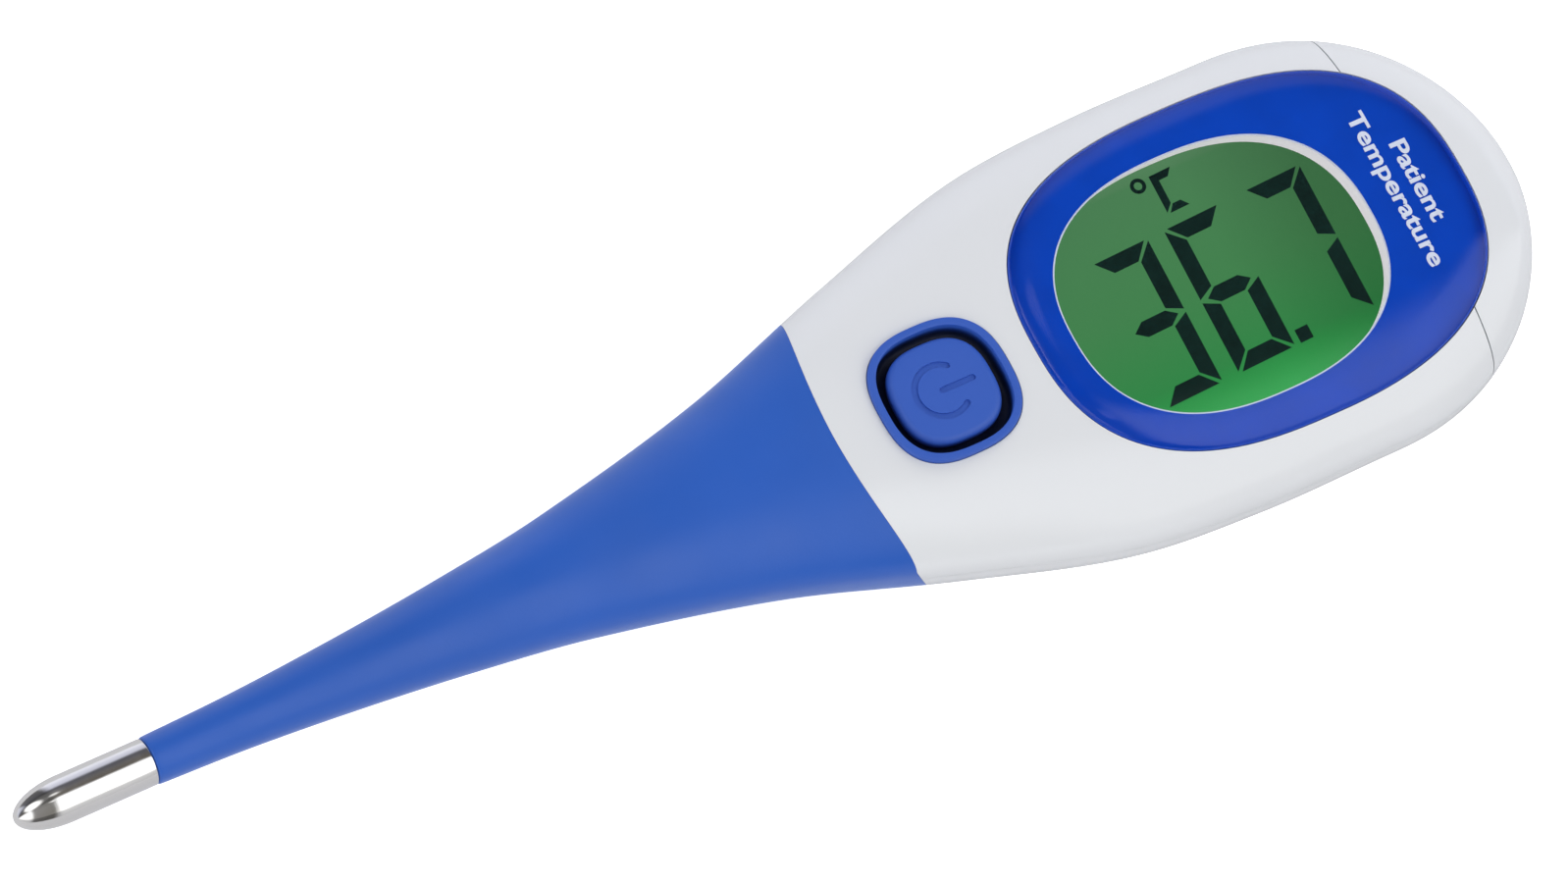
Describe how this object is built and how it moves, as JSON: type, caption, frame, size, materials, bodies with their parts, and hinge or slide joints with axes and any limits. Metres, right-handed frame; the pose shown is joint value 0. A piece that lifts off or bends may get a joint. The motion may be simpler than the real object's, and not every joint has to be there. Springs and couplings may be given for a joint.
{
  "type": "digital thermometer",
  "caption": "Clinical digital thermometer: flexible probe with a polished metal tip, wide rounded head, large back-lit display, power button and slide-out battery.",
  "frame": {"origin": "on the rear housing's flat rest face, under the middle of the display window", "axes": "+X towards the head and battery cap (the sensor tip is at -X), +Z out of the display, +Y completes the right-handed frame"},
  "size_m": [0.139, 0.0368, 0.015],
  "materials": {
    "white_abs": "glossy cool-white moulded ABS",
    "blue_tpe": "soft-sheen blue thermoplastic elastomer",
    "blue_rubber": "satin blue moulded rubber",
    "lens_clear": "clear polished moulded lens",
    "blue_print": "deep blue screen print under the clear lens",
    "adhesive": "black adhesive film",
    "polished_steel": "polished stainless steel",
    "lcd_glass": "polarised liquid-crystal glass over a green backlight",
    "light_guide": "frosted green-lit acrylic",
    "film_white": "matt white optical film",
    "board_green": "solder-masked glass-fibre board",
    "black_plastic": "black moulded plastic",
    "black_rubber": "black rubber",
    "brass": "rolled brass sheet",
    "ceramic": "pale fired ceramic",
    "nickel_plate": "nickel-plated steel",
    "epoxy": "dark potting epoxy",
    "enamelled_wire": "enamelled copper wire",
    "red_wire": "red insulated wire"
  },
  "bodies": {
    "housing": {"front_housing": "white_abs", "rear_housing": "white_abs", "neck_insert": "white_abs", "flexible_sleeve": "blue_tpe", "display_lens": "lens_clear", "lens_print": "blue_print", "lens_adhesive": "adhesive", "lcd_front_glass": "lcd_glass", "lcd_rear_glass": "lcd_glass", "lcd_frame": "white_abs", "light_guide": "light_guide", "reflector_film": "film_white", "diffuser_film": "film_white", "backlight_led_a": "ceramic", "backlight_led_b": "ceramic", "elastomer_connector": "black_rubber", "main_board": "board_green", "processor_blob": "epoxy", "reference_resistor": "black_plastic", "filter_capacitor": "ceramic", "board_screw_a": "nickel_plate", "board_screw_b": "nickel_plate", "switch_base": "black_plastic", "switch_dome": "nickel_plate", "switch_cover": "nickel_plate", "button_surround": "blue_rubber", "buzzer_disc": "brass", "buzzer_ceramic": "ceramic", "buzzer_wire_a": "red_wire", "buzzer_wire_b": "black_plastic", "contact_positive": "nickel_plate", "contact_negative": "nickel_plate", "sensor_lead_a": "enamelled_wire", "sensor_lead_b": "enamelled_wire"},
    "battery_drawer": {"battery_cap": "white_abs", "battery_tray": "white_abs", "coin_cell": "nickel_plate", "battery_seal": "black_rubber"},
    "power_button": {"power_button": "blue_rubber"},
    "switch_plunger": {"switch_plunger": "black_plastic"},
    "probe_mid": {"lead_splice_tube": "black_plastic"},
    "probe_tip": {"tip_cap": "polished_steel", "tip_potting": "epoxy", "thermistor_bead": "epoxy"}
  },
  "joints": [
    {"name": "battery_slide", "type": "slide", "parent": "housing", "child": "battery_drawer", "axis": [1, 0, 0], "range_m": [0, 0.032]},
    {"name": "button_press", "type": "slide", "parent": "housing", "child": "power_button", "axis": [0, 0, -1], "range_m": [0, 0.0005], "stiffness_N_per_m": 20},
    {"name": "plunger_press", "type": "slide", "parent": "housing", "child": "switch_plunger", "axis": [0, 0, -1], "range_m": [0, 0.00025], "stiffness_N_per_m": 4, "deforming": ["switch_dome"]},
    {"name": "probe_flex_rear", "type": "hinge", "parent": "housing", "child": "probe_mid", "pos_m": [-0.062, 0, 0.0085], "axis": [0, 0, 1], "range_deg": [-22.5, 22.5], "stiffness_Nm_per_rad": 0.0008, "deforming": ["flexible_sleeve", "sensor_lead_a", "sensor_lead_b"]},
    {"name": "probe_flex_front", "type": "hinge", "parent": "probe_mid", "child": "probe_tip", "pos_m": [-0.084, 0, 0.0085], "axis": [0, 0, 1], "range_deg": [-22.5, 22.5], "stiffness_Nm_per_rad": 0.0008}
  ],
  "couplings": [
    {"joint": "plunger_press", "follows": "button_press", "ratio": 0.5},
    {"joint": "probe_flex_front", "follows": "probe_flex_rear", "ratio": 1}
  ]
}
